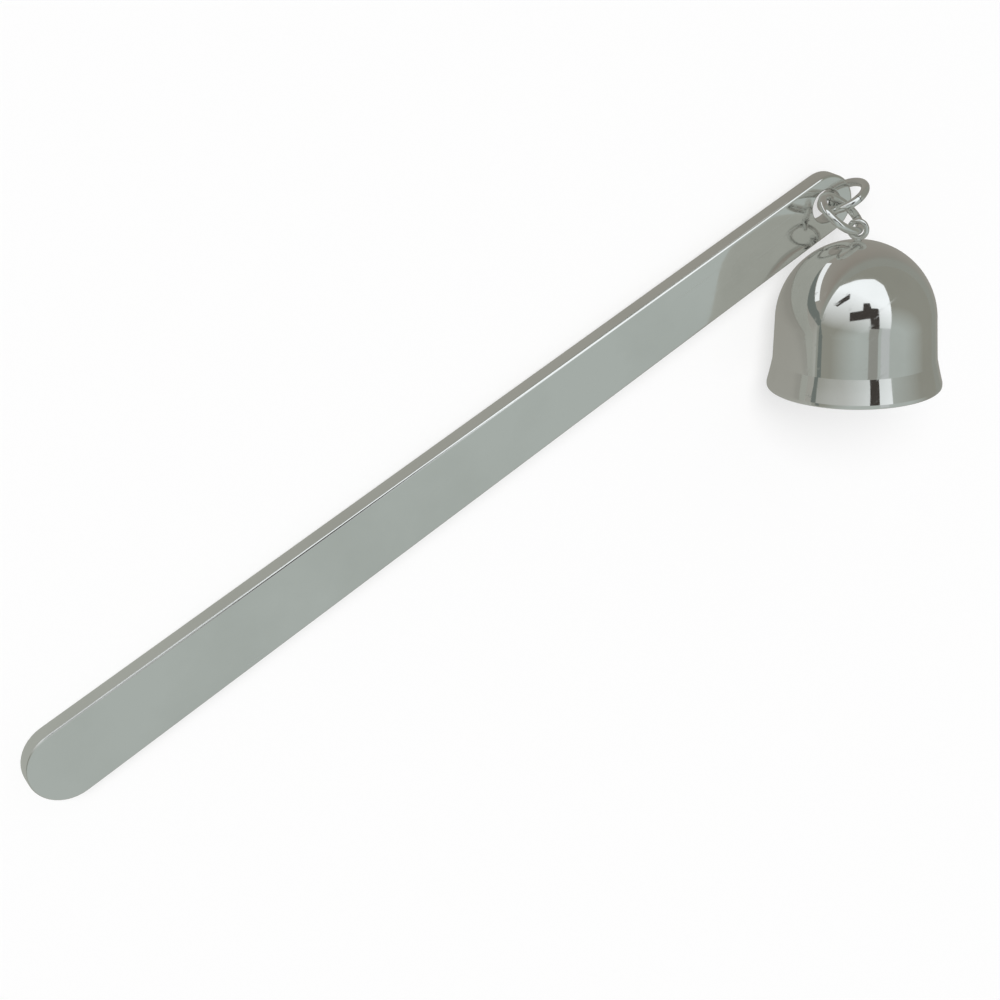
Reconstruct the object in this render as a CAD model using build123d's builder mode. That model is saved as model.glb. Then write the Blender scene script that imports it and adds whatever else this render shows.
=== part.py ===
"""Candle snuffer: a flat tapered handle, two wire link rings and a hollow bell with a wire eye.

The snuffer lies on a level surface. The grip end of the handle touches the surface, the ring end
is held up by the upper link ring, and the bell lies on its side beside the ring end.
Lengths are in millimetres. +X runs from the ring end to the grip end, +Z is up, and the origin is
on the surface, under the middle of the whole snuffer.
"""

import os
from math import acos, asin, atan2, cos, degrees, hypot, radians, sin, sqrt

from build123d import *

# Handle bar
bar_length = 156.0
bar_thickness = 3.0
grip_width = 11.9
tip_width = 9.7
bar_edge_radius = 0.45
hole_diameter = 5.4
hole_inset = 5.25
hole_edge_radius = 0.3

# Link rings
link_wire = 1.36
link_play = 1.1
link_clearance = 0.36
link_joint_gap = 0.08

# Bell cup
bell_rim_diameter = 28.0
bell_height = 23.7
bell_wall = 0.9
skirt_diameter = 26.2
skirt_height = 4.6
dome_diameter = 25.6
lip_height = 0.7
flare_height_share = 0.436
flare_width_share = 0.528
lip_edge_radius = 0.3

# Crown eye and its washer
eye_wire = 0.84
eye_clearance = 0.27
shank_diameter = 1.1
shank_clearance = 0.05
head_diameter = 2.0
head_height = 0.5
washer_diameter = 4.0
washer_thickness = 0.5
washer_seat_margin = 0.35

# Resting pose of the chain: directions in degrees, places as shares of the link's mean radius
upper_ring_place_shares = (-0.995, 0.173, 0.266)
upper_ring_azimuth = 93.3
upper_ring_climb = 7.2
lower_ring_place_shares = (0.075, 0.013, 1.416)
lower_ring_azimuth = 42.8
lower_ring_climb = -30.6
eye_place_shares = (-0.064, 0.718, 2.07)
eye_turn = 123.2
bell_azimuth = 243.7

# Derived sizes
tip_radius = tip_width / 2
grip_radius = grip_width / 2
hole_radius = hole_diameter / 2
tip_x = tip_radius - bar_length / 2
grip_x = bar_length / 2 - grip_radius
hole_x = hole_inset - bar_length / 2
taper_angle = asin((grip_radius - tip_radius) / (grip_x - tip_x))
tip_wall = hole_inset - hole_radius
link_radius = link_wire / 2
link_mean_radius = hypot(bar_thickness, tip_wall) / 2 + link_play + link_radius
link_gap_angle = degrees(link_joint_gap / link_mean_radius)
tip_lift = link_wire + 2 * link_clearance
bar_pitch = asin(tip_lift / (bar_length / 2 - tip_x))

rim_radius = bell_rim_diameter / 2
skirt_radius = skirt_diameter / 2
dome_radius = dome_diameter / 2
flare_height = lip_height + (skirt_height - lip_height) * flare_height_share
flare_radius = skirt_radius + (rim_radius - skirt_radius) * flare_width_share
dome_base_height = bell_height - dome_radius
bell_lean = acos(dome_radius / hypot(rim_radius, dome_base_height))
bell_droop = degrees(bell_lean - atan2(dome_base_height, rim_radius))
inner_dome_radius = dome_radius - bell_wall
seat_radius = washer_diameter / 2 + washer_seat_margin
seat_height = dome_base_height + sqrt(inner_dome_radius**2 - seat_radius**2)
shank_hole_radius = shank_diameter / 2 + shank_clearance
crown_angle = degrees(acos(shank_hole_radius / dome_radius))
seat_angle = degrees(acos(seat_radius / inner_dome_radius))
eye_radius = eye_wire / 2
eye_mean_radius = link_radius + eye_clearance + eye_radius
eye_height = bell_height + eye_mean_radius + eye_radius
head_base_height = seat_height - washer_thickness - head_height


def direction(azimuth, climb):
    """Unit vector from a compass direction about Z and a climb above the level, in degrees."""
    level = cos(radians(climb))
    return Vector(level * cos(radians(azimuth)), level * sin(radians(azimuth)), sin(radians(climb)))


def beside_hole(shares):
    """Point that lies off the middle of the handle's hole by shares of the link's mean radius."""
    hole_middle = Vector(hole_x, 0, bar_thickness / 2)
    return bar_plane.from_local_coords(hole_middle + Vector(*shares) * link_mean_radius)


# The bar's underside plane: the ring end is raised, and the grip end meets the surface
bar_plane = Plane(
    origin=(0, 0, 0),
    x_dir=(cos(bar_pitch), 0, -sin(bar_pitch)),
    z_dir=(sin(bar_pitch), 0, cos(bar_pitch)),
)
upper_ring_plane = Plane(
    origin=beside_hole(upper_ring_place_shares),
    z_dir=direction(upper_ring_azimuth, upper_ring_climb),
)
lower_ring_plane = Plane(
    origin=beside_hole(lower_ring_place_shares),
    z_dir=direction(lower_ring_azimuth, lower_ring_climb),
)

# The bell's plane lies in its mouth: Z runs from the mouth to the crown, X lies in the eye's loop
bell_axis = direction(bell_azimuth, -bell_droop)
bell_level = bell_axis.cross(Vector(0, 0, 1)).normalized()
eye_centre = beside_hole(eye_place_shares)
bell_plane = Plane(
    origin=eye_centre - bell_axis * eye_height,
    x_dir=bell_level.rotate(Axis((0, 0, 0), bell_axis), eye_turn),
    z_dir=bell_axis,
)
bell_section = Plane(origin=bell_plane.origin, x_dir=bell_plane.x_dir, z_dir=-bell_plane.y_dir)
bell_turning_axis = Axis(bell_plane.origin, bell_plane.z_dir)

# Handle bar: tapered flat bar with full-round ends
with BuildPart() as handle_bar:
    with BuildSketch(bar_plane) as bar_outline:
        with BuildLine() as bar_edge:
            tip_back = (tip_x - tip_radius * sin(taper_angle), tip_radius * cos(taper_angle))
            grip_back = (grip_x - grip_radius * sin(taper_angle), grip_radius * cos(taper_angle))
            tip_front = (tip_back[0], -tip_back[1])
            grip_front = (grip_back[0], -grip_back[1])
            Line(tip_back, grip_back)
            ThreePointArc(grip_back, (grip_x + grip_radius, 0), grip_front)
            Line(grip_front, tip_front)
            ThreePointArc(tip_front, (tip_x - tip_radius, 0), tip_back)
        make_face()
    extrude(amount=bar_thickness)
    bar_faces = handle_bar.faces().sort_by(Axis.Z)
    fillet(bar_faces[-1].edges() + bar_faces[0].edges(), radius=bar_edge_radius)
    with BuildSketch(bar_plane) as hole_outline:
        with Locations((hole_x, 0)):
            Circle(hole_radius)
    extrude(amount=bar_thickness, mode=Mode.SUBTRACT)
    hole_edges = handle_bar.edges().filter_by(GeomType.CIRCLE)
    hole_edges = hole_edges.filter_by(lambda edge: edge.is_closed)
    fillet(hole_edges, radius=hole_edge_radius)

# Upper link ring: round wire bent to a ring, its ends butted at the joint
with BuildPart() as upper_link_ring:
    upper_section = Plane(
        origin=upper_ring_plane.from_local_coords(Vector(link_mean_radius, 0, 0)),
        x_dir=upper_ring_plane.x_dir,
        z_dir=upper_ring_plane.y_dir,
    )
    with BuildSketch(upper_section) as upper_wire:
        Circle(link_radius)
    revolve(
        axis=Axis(upper_ring_plane.origin, upper_ring_plane.z_dir),
        revolution_arc=360 - link_gap_angle,
    )

# Lower link ring
with BuildPart() as lower_link_ring:
    lower_section = Plane(
        origin=lower_ring_plane.from_local_coords(Vector(link_mean_radius, 0, 0)),
        x_dir=lower_ring_plane.x_dir,
        z_dir=lower_ring_plane.y_dir,
    )
    with BuildSketch(lower_section) as lower_wire:
        Circle(link_radius)
    revolve(
        axis=Axis(lower_ring_plane.origin, lower_ring_plane.z_dir),
        revolution_arc=360 - link_gap_angle,
    )

# Bell cup: pressed shell with a domed crown, a slightly tapered skirt and a rolled-out lip
with BuildPart() as bell_cup:
    with BuildSketch(bell_section) as bell_profile:
        with BuildLine() as bell_wall_outline:
            Line((rim_radius - bell_wall, 0), (rim_radius, 0))
            Line((rim_radius, 0), (rim_radius, lip_height))
            ThreePointArc(
                (rim_radius, lip_height),
                (flare_radius, flare_height),
                (skirt_radius, skirt_height),
            )
            Line((skirt_radius, skirt_height), (dome_radius, dome_base_height))
            dome_arc = CenterArc((0, dome_base_height), dome_radius, start_angle=0, arc_size=crown_angle)
            Line(dome_arc @ 1, (shank_hole_radius, seat_height))
            Line((shank_hole_radius, seat_height), (seat_radius, seat_height))
            CenterArc((0, dome_base_height), inner_dome_radius, start_angle=0, arc_size=seat_angle)
            Line((inner_dome_radius, dome_base_height), (skirt_radius - bell_wall, skirt_height))
            ThreePointArc(
                (skirt_radius - bell_wall, skirt_height),
                (flare_radius - bell_wall, flare_height),
                (rim_radius - bell_wall, lip_height),
            )
            Line((rim_radius - bell_wall, lip_height), (rim_radius - bell_wall, 0))
        make_face()
    revolve(axis=bell_turning_axis)
    lip_edges = bell_cup.edges().group_by(lambda edge: bell_plane.to_local_coords(edge.center()).Z)[0]
    fillet(lip_edges, radius=lip_edge_radius)

# Crown eye: wire loop on a shank that is peened over inside the crown
with BuildPart() as crown_eye:
    eye_section = Plane(
        origin=eye_centre + bell_plane.x_dir * eye_mean_radius,
        x_dir=bell_plane.x_dir,
        z_dir=bell_plane.z_dir,
    )
    with BuildSketch(eye_section) as eye_wire_section:
        Circle(eye_radius)
    revolve(axis=Axis(eye_centre, bell_plane.y_dir))
    with BuildSketch(bell_plane.offset(head_base_height)) as shank_round:
        Circle(shank_diameter / 2)
    extrude(amount=eye_height - eye_mean_radius - head_base_height)
    with BuildSketch(bell_plane.offset(head_base_height)) as head_round:
        Circle(head_diameter / 2)
    extrude(amount=head_height)
    head_edges = crown_eye.edges().group_by(lambda edge: bell_plane.to_local_coords(edge.center()).Z)[0]
    fillet(head_edges, radius=head_height / 2)

# Washer between the peened head and the crown
with BuildPart() as eye_washer:
    with BuildSketch(bell_plane.offset(seat_height - washer_thickness)) as washer_ring:
        Circle(washer_diameter / 2)
        Circle(shank_hole_radius, mode=Mode.SUBTRACT)
    extrude(amount=washer_thickness)

# Every piece moves together, so that the whole lies on the surface with its middle over the origin
pieces = {
    "handle_bar": handle_bar.part,
    "upper_link_ring": upper_link_ring.part,
    "lower_link_ring": lower_link_ring.part,
    "bell_cup": bell_cup.part,
    "crown_eye": crown_eye.part,
    "eye_washer": eye_washer.part,
}
reach = handle_bar.part.bounding_box()
for piece in pieces.values():
    reach = reach.add(piece.bounding_box())
resting_place = Location((-reach.center().X, -reach.center().Y, -reach.min.Z))

os.makedirs("parts", exist_ok=True)
for name, piece in pieces.items():
    placed_piece = piece.moved(resting_place)
    placed_piece.label = name
    export_step(placed_piece, f"parts/{name}.step")
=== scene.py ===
"""Candle snuffer: polished finishes, a pale table, studio cards and the camera for the photograph's view.

Lengths are in metres. The photograph was cut out on white, but its metal mirrors a grey room with a
bright window round the viewer, so the table and the room are white to the camera and grey in the metal.
"""

import math

import bpy
from mathutils import Matrix, Vector


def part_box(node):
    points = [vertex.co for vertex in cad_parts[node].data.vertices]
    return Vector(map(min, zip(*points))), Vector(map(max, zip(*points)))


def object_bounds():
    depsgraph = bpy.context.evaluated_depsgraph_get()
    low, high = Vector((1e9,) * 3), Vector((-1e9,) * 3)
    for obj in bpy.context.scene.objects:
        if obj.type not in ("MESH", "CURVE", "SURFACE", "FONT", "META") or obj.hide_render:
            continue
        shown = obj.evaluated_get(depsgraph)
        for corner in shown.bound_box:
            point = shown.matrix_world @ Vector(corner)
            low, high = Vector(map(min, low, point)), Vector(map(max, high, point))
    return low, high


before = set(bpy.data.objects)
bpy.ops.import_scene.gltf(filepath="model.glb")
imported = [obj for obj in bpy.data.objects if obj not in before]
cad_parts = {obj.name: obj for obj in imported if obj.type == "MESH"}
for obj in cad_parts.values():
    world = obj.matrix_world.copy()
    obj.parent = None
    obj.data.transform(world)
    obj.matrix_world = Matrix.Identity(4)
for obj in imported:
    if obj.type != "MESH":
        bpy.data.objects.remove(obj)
cad_low, cad_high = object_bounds()

# Camera: the photograph's viewing angle, with the picture turned so that the bell looks upright
camera_azimuth = math.radians(21.77)
camera_elevation = math.radians(50.74)
camera_roll = math.radians(125.69)
camera_distance = 0.278
camera_lens = 64.8
camera_sensor = 36.0
camera_aim = Vector((-0.00134, -0.0035, 0.0025))
camera_clip_start = 0.01

# Light on the table: its evenness is the share of its light that no shadow takes away
room_light = 0.38
front_light = 2.60
front_light_angle = math.radians(32)
white = (1, 1, 1, 1)
table_white = (0.98, 0.98, 0.98, 1)
table_evenness = 0.6
mirrored_evenness = 0.85

# Greys and glows that the metal mirrors
table_warm = (0.25, 0.228, 0.196, 1)
table_cool = (0.38, 0.393, 0.358, 1)
table_far = (0.27, 0.28, 0.248, 1)
room_warm = (0.262, 0.265, 0.228, 1)
room_cool = (0.40, 0.435, 0.41, 1)
room_twice = (0.36, 0.372, 0.335, 1)
window_glow = (0.95, 0.99, 1.0, 1)
strip_glow = (0.48, 0.505, 0.50, 1)
# Glow of the sheet that paints a highlight in the bell
painted_highlight_glow = (0.85, 0.88, 0.88, 1)
dim_things = (0.27, 0.275, 0.25, 1)
dark_things = (0.05, 0.045, 0.04, 1)
dark_strip = (0.15, 0.17, 0.155, 1)

# Where the mirrored greys change: the table down the picture and far off, the room towards one corner
table_change = (-0.10, 0.03)
far_change = (0.10, 0.16)
room_change = (0.35, 0.7)
room_cool_shares = (0.35, -0.8, 0.4)

# How the window card fades: over this span in metres, along this mix of the picture's right and up
window_fade = (-0.33, 0.32)
window_fade_shares = (0.35, 0.94)

# Count of mirrors in which the metal shows a thing straight, and in which it shows it by way of other metal
first_mirror = 1
second_mirror = 2

# Stage: outlines of the cards in degrees to the right and up, as the bell mirrors them
table_size = 6.0
card_distance = 0.9
dark_distance = 0.4
window_outline = [
    (-52, 26), (-34, 36), (-6, 55), (40, 55), (51, 44), (51, -12), (35, -12), (14, -19), (-8, -22),
    (-20, -28), (-40, -20), (-60, -5), (-62, 14),
]
strip_outline = [(38, -12), (51, -12), (52, -30), (39, -30)]
viewer_outline = [
    (-8, 9), (10, 12), (11, 22), (20, 22), (22, 15), (32, 14), (34, -13), (22, -13), (20, 1), (-8, -3)
]
body_outline = [(20, -13), (34, -13), (34, -30), (20, -30)]
edge_outline = [(-58, -4), (-49, -4), (-49, -32), (-54, -32)]
bar_outline = [(-31, 19), (-9, 36), (-9, 28), (-26, 17)]

# Sheets lying on the table that only the bell mirrors, in metres, clear to mirrors nearer than patch_near:
# a glowing one paints a highlight and a dark one paints a dark reflection
painted_highlight_outline = [(-0.068, -0.022), (-0.070, -0.026), (-0.027, -0.054), (-0.034, -0.038)]
painted_dark_reflection_outline = [
    (-0.072, -0.0165), (-0.047, -0.021), (-0.030, -0.026), (0.0, -0.040), (0.12, -0.09), (0.30, -0.19),
    (0.36, -0.28), (0.12, -0.13), (0.036, -0.089), (-0.012, -0.052), (-0.041, -0.034), (-0.067, -0.0215),
]
patch_lift = 0.0001
patch_near = (0.008, 0.010)

# Metal surface: each layer adds its roughness over its span of the noise
smudge_detail = 6
smudge_span = (0.4, 0.8)
smudge_roughness = (0.035, 0.09)
dull_span = (0.45, 0.75)
grain_detail = 4
grain_span = (0.5, 0.8)
grain_roughness = (0, 0.05)
grain_height = 0.00002
hairline_detail = 2
hairline_fineness = 2
hairline_span = (0.66, 0.70)
hairline_roughness = (0, 0.12)
hairline_turns = (math.radians(14), math.radians(-38))
hairline_stretch = (0.02, 1, 1)
satin_roughness = 0.3
inside_depth = 0.001


def direction(azimuth, elevation):
    """Unit vector towards a viewer at that azimuth, from -Y round to +X, and elevation."""
    level = math.cos(elevation)
    return Vector((level * math.sin(azimuth), -level * math.cos(azimuth), math.sin(elevation)))


camera_back = direction(camera_azimuth, camera_elevation)
level_right = Vector((math.cos(camera_azimuth), math.sin(camera_azimuth), 0))
level_up = camera_back.cross(level_right)
camera_right = level_right * math.cos(camera_roll) + level_up * math.sin(camera_roll)
camera_up = camera_back.cross(camera_right)
camera_place = camera_aim + camera_back * camera_distance
window_fade_way = camera_right * window_fade_shares[0] + camera_up * window_fade_shares[1]
bell_low, bell_high = (Vector(corner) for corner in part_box("bell_cup"))
bell_middle = (bell_low + bell_high) / 2


def new_material(name):
    """Empty node material with its output node."""
    material = bpy.data.materials.new(name)
    material.use_nodes = True
    material.node_tree.nodes.clear()
    output = material.node_tree.nodes.new("ShaderNodeOutputMaterial")
    return material, material.node_tree, output


def noise(tree, coordinates, scale, detail, stretch=(1, 1, 1), turn=0):
    """Noise in object space, stretched along the object's axes and turned about Z."""
    mapping = tree.nodes.new("ShaderNodeMapping")
    mapping.inputs["Rotation"].default_value = (0, 0, turn)
    mapping.inputs["Scale"].default_value = stretch
    tree.links.new(coordinates, mapping.inputs["Vector"])
    texture = tree.nodes.new("ShaderNodeTexNoise")
    texture.inputs["Scale"].default_value = scale
    texture.inputs["Detail"].default_value = detail
    tree.links.new(mapping.outputs["Vector"], texture.inputs["Vector"])
    return texture.outputs["Fac"]


def ramp(tree, value, low, high, low_value, high_value):
    """Value mapped from the span low..high to low_value..high_value."""
    span = tree.nodes.new("ShaderNodeMapRange")
    span.inputs["From Min"].default_value = low
    span.inputs["From Max"].default_value = high
    span.inputs["To Min"].default_value = low_value
    span.inputs["To Max"].default_value = high_value
    tree.links.new(value, span.inputs["Value"])
    return span.outputs["Result"]


def blend(tree, factor, first, second):
    """Colour between two others, each a colour or another node's output."""
    colours = tree.nodes.new("ShaderNodeMix")
    colours.data_type = "RGBA"
    tree.links.new(factor, colours.inputs["Factor"])
    for name, colour in (("A", first), ("B", second)):
        if isinstance(colour, tuple):
            colours.inputs[name].default_value = colour
        else:
            tree.links.new(colour, colours.inputs[name])
    return colours.outputs["Result"]


def add(tree, *values):
    """Sum of several values."""
    total = values[0]
    for value in values[1:]:
        node = tree.nodes.new("ShaderNodeMath")
        node.operation = "ADD"
        tree.links.new(total, node.inputs[0])
        tree.links.new(value, node.inputs[1])
        total = node.outputs["Value"]
    return total


def measure(tree, operation, vector, other=(0, 0, 0)):
    """Length of a vector, or its share along another one."""
    node = tree.nodes.new("ShaderNodeVectorMath")
    node.operation = operation
    tree.links.new(vector, node.inputs[0])
    node.inputs[1].default_value = other
    return node.outputs["Value"]


def inside_of(tree, coordinates, middle):
    """1 on the faces that look towards the middle of a hollow piece, and 0 on the others."""
    outward = tree.nodes.new("ShaderNodeVectorMath")
    outward.operation = "SUBTRACT"
    tree.links.new(coordinates["Object"], outward.inputs[0])
    outward.inputs[1].default_value = middle
    facing = tree.nodes.new("ShaderNodeVectorMath")
    facing.operation = "DOT_PRODUCT"
    tree.links.new(outward.outputs["Vector"], facing.inputs[0])
    tree.links.new(coordinates["Normal"], facing.inputs[1])
    return ramp(tree, facing.outputs["Value"], 0, -inside_depth, 0, 1)


def polished_chrome(
    name, bright, dull, smudge_scale, grain_scale, grain_stretch, grain_strength, hollow=None
):
    """Bright plating with smudges, fine grain and hairline scratches, and satin inside a hollow piece."""
    material, tree, output = new_material(name)
    shader = tree.nodes.new("ShaderNodeBsdfPrincipled")
    shader.inputs["Metallic"].default_value = 1.0
    tree.links.new(shader.outputs["BSDF"], output.inputs["Surface"])
    coordinates = tree.nodes.new("ShaderNodeTexCoord").outputs
    place = coordinates["Object"]

    smudges = noise(tree, place, smudge_scale, smudge_detail)
    grain = noise(tree, place, grain_scale, grain_detail, grain_stretch)
    layers = [
        ramp(tree, smudges, *smudge_span, *smudge_roughness),
        ramp(tree, grain, *grain_span, *grain_roughness),
    ]
    hairline_scale = hairline_fineness * grain_scale
    for turn in hairline_turns:
        hairlines = noise(tree, place, hairline_scale, hairline_detail, hairline_stretch, turn)
        layers.append(ramp(tree, hairlines, *hairline_span, *hairline_roughness))
    if hollow:
        inside = inside_of(tree, coordinates, hollow)
        layers.append(ramp(tree, inside, 0, 1, 0, satin_roughness))
    tree.links.new(add(tree, *layers), shader.inputs["Roughness"])

    colour = blend(tree, ramp(tree, smudges, *dull_span, 0, 1), bright, dull)
    tree.links.new(colour, shader.inputs["Base Color"])

    bump = tree.nodes.new("ShaderNodeBump")
    bump.inputs["Strength"].default_value = grain_strength
    bump.inputs["Distance"].default_value = grain_height
    tree.links.new(grain, bump.inputs["Height"])
    tree.links.new(bump.outputs["Normal"], shader.inputs["Normal"])
    return material


def table_material():
    """Matt white table with soft shadows, mirrored by the metal as grey, warm at the top of the picture."""
    material, tree, output = new_material("table_white")
    material.cycles.emission_sampling = "NONE"
    matt = tree.nodes.new("ShaderNodeBsdfDiffuse")
    even = tree.nodes.new("ShaderNodeEmission")
    surface = tree.nodes.new("ShaderNodeMixShader")
    mirrored = tree.nodes.new("ShaderNodeLightPath").outputs["Is Glossy Ray"]
    tree.links.new(ramp(tree, mirrored, 0, 1, table_evenness, mirrored_evenness), surface.inputs["Fac"])
    place = tree.nodes.new("ShaderNodeTexCoord").outputs["Object"]
    down_picture = measure(tree, "DOT_PRODUCT", place, -camera_up)
    away = measure(tree, "LENGTH", place)
    grey = blend(tree, ramp(tree, down_picture, *table_change, 0, 1), table_warm, table_cool)
    grey = blend(tree, ramp(tree, away, *far_change, 0, 1), grey, table_far)
    colour = blend(tree, mirrored, table_white, grey)
    tree.links.new(colour, matt.inputs["Color"])
    tree.links.new(colour, even.inputs["Color"])
    tree.links.new(matt.outputs["BSDF"], surface.inputs[1])
    tree.links.new(even.outputs["Emission"], surface.inputs[2])
    tree.links.new(surface.outputs["Shader"], output.inputs["Surface"])
    return material


def window_share(tree):
    """Share of the window card that is not clear, which rises evenly from 0 to 1 over the fade's span."""
    place = tree.nodes.new("ShaderNodeTexCoord").outputs["Object"]
    return ramp(tree, measure(tree, "DOT_PRODUCT", place, window_fade_way), *window_fade, 0, 1)


def far_share(tree):
    """1 in mirrors far from the card, and 0 in those close by, such as the side of the handle."""
    length = tree.nodes.new("ShaderNodeLightPath").outputs["Ray Length"]
    return ramp(tree, length, *patch_near, 0, 1)


def card_material(name, colour, share=None):
    """Glowing studio card, grey as the room in a second mirror, and clear where its share is 0."""
    material, tree, output = new_material(name)
    glow = tree.nodes.new("ShaderNodeEmission")
    mirrors = tree.nodes.new("ShaderNodeLightPath").outputs["Glossy Depth"]
    twice = ramp(tree, mirrors, first_mirror, second_mirror, 0, 1)
    tree.links.new(blend(tree, twice, colour, room_twice), glow.inputs["Color"])
    surface = glow.outputs["Emission"]
    if share:
        clear = tree.nodes.new("ShaderNodeBsdfTransparent")
        faded = tree.nodes.new("ShaderNodeMixShader")
        tree.links.new(share(tree), faded.inputs["Fac"])
        tree.links.new(clear.outputs["BSDF"], faded.inputs[1])
        tree.links.new(surface, faded.inputs[2])
        surface = faded.outputs["Shader"]
    tree.links.new(surface, output.inputs["Surface"])
    return material


def stage_mesh(name, corners, material):
    """Flat stage piece through the given corners."""
    mesh = bpy.data.meshes.new(name)
    mesh.from_pydata(corners, [], [tuple(range(len(corners)))])
    mesh.materials.append(material)
    piece = bpy.data.objects.new(name, mesh)
    bpy.context.scene.collection.objects.link(piece)
    return piece


def mirrored_only(card):
    """Stage piece that only the polished metal shows."""
    card.visible_camera = False
    card.visible_diffuse = False
    card.visible_shadow = False


def studio_card(name, outline, distance, material):
    """Card facing the bell, with its outline in degrees to the right and up from the viewer."""
    view_back = (camera_place - bell_middle).normalized()
    view_right = (camera_right - view_back * camera_right.dot(view_back)).normalized()
    view_up = view_back.cross(view_right)
    corners = []
    for right_degrees, up_degrees in outline:
        right = math.radians(right_degrees)
        up = math.radians(up_degrees)
        way = view_back * math.cos(right) * math.cos(up)
        way += view_right * math.sin(right) * math.cos(up) + view_up * math.sin(up)
        corners.append(bell_middle + way * distance)
    mirrored_only(stage_mesh(name, corners, material))


# Finishes
bar_chrome = polished_chrome(
    "bar_chrome",
    bright=(0.93, 0.935, 0.93, 1),
    dull=(0.86, 0.865, 0.855, 1),
    smudge_scale=60,
    grain_scale=900,
    grain_stretch=(0.08, 1, 1),
    grain_strength=0.12,
)
bell_chrome = polished_chrome(
    "bell_chrome",
    bright=(0.93, 0.93, 0.925, 1),
    dull=(0.86, 0.86, 0.85, 1),
    smudge_scale=90,
    grain_scale=500,
    grain_stretch=(1, 1, 1),
    grain_strength=0.10,
    hollow=bell_middle,
)
wire_chrome = polished_chrome(
    "wire_chrome",
    bright=(0.90, 0.91, 0.91, 1),
    dull=(0.80, 0.81, 0.81, 1),
    smudge_scale=400,
    grain_scale=1800,
    grain_stretch=(1, 1, 1),
    grain_strength=0.20,
)
finishes = {
    "handle_bar": bar_chrome,
    "upper_link_ring": wire_chrome,
    "lower_link_ring": wire_chrome,
    "bell_cup": bell_chrome,
    "crown_eye": wire_chrome,
    "eye_washer": wire_chrome,
}
for node_name, finish in finishes.items():
    for material_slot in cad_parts[node_name].material_slots:
        material_slot.material = finish

# Table under the lowest point of the snuffer
half = table_size / 2
table_level = cad_low.z
table_square = [(-half, -half), (half, -half), (half, half), (-half, half)]
table_corners = [(x, y, table_level) for x, y in table_square]
stage_mesh("table", table_corners, table_material())

# Cards that the bell mirrors: a window, a dimmer strip, and nearer by the viewer, a bar and a dark edge
window = card_material("window_glow", window_glow, window_share)
strip = card_material("strip_glow", strip_glow)
dim = card_material("dim_things", dim_things)
dark = card_material("dark_things", dark_things)
edge = card_material("edge", dark_strip)
studio_card("window_card", window_outline, card_distance, window)
studio_card("strip_card", strip_outline, card_distance, strip)
studio_card("viewer_card", viewer_outline, dark_distance, dark)
studio_card("body_card", body_outline, dark_distance, dim)
studio_card("bar_card", bar_outline, dark_distance, dark)
studio_card("edge_card", edge_outline, dark_distance, edge)

# Glowing and dark sheets on the table beside the handle, seen only in the metal: a painted highlight and a
# painted dark reflection, which the bell mirrors as thin curves
patches = {
    "painted_highlight_patch": (painted_highlight_outline, painted_highlight_glow),
    "painted_dark_reflection_patch": (painted_dark_reflection_outline, dark_strip),
}
for patch_name, (outline, glow) in patches.items():
    patch_corners = [(x, y, table_level + patch_lift) for x, y in outline]
    patch_finish = card_material(patch_name, glow, far_share)
    mirrored_only(stage_mesh(patch_name, patch_corners, patch_finish))

# Room: an even light, white behind the table, and grey where the metal mirrors it, cooler at one corner
world = bpy.data.worlds.new("room")
bpy.context.scene.world = world
world.use_nodes = True
room = world.node_tree
room.nodes.clear()
room_output = room.nodes.new("ShaderNodeOutputWorld")
background = room.nodes.new("ShaderNodeBackground")
room_way = room.nodes.new("ShaderNodeTexCoord").outputs["Generated"]
picture_axes = (camera_right, camera_up, camera_back)
cool_way = sum((axis * share for axis, share in zip(picture_axes, room_cool_shares)), Vector())
coolness = ramp(room, measure(room, "DOT_PRODUCT", room_way, cool_way), *room_change, 0, 1)
rays = room.nodes.new("ShaderNodeLightPath").outputs
even_light = (room_light, room_light, room_light, 1)
room_colour = blend(room, rays["Is Camera Ray"], even_light, white)
mirrored_room = blend(room, coolness, room_warm, room_cool)
mirrored_twice = ramp(room, rays["Glossy Depth"], first_mirror, second_mirror, 0, 1)
mirrored_room = blend(room, mirrored_twice, mirrored_room, room_twice)
room_colour = blend(room, rays["Is Glossy Ray"], room_colour, mirrored_room)
room.links.new(room_colour, background.inputs["Color"])
room.links.new(background.outputs["Background"], room_output.inputs["Surface"])

# Soft light from the viewer's side, which the metal doesn't mirror
front_data = bpy.data.lights.new("front_light", "SUN")
front_data.energy = front_light
front_data.angle = front_light_angle
front = bpy.data.objects.new("front_light", front_data)
front.rotation_euler = camera_back.to_track_quat("Z", "Y").to_euler()
front.visible_glossy = False
bpy.context.scene.collection.objects.link(front)

# Camera
camera_data = bpy.data.cameras.new("camera")
camera_data.lens = camera_lens
camera_data.sensor_width = camera_sensor
camera_data.clip_start = camera_clip_start
camera = bpy.data.objects.new("camera", camera_data)
bpy.context.scene.collection.objects.link(camera)
camera_turn = Matrix((camera_right, camera_up, camera_back)).transposed().to_4x4()
camera.matrix_world = Matrix.Translation(camera_place) @ camera_turn
bpy.context.scene.camera = camera
bpy.context.scene.view_settings.view_transform = "Standard"
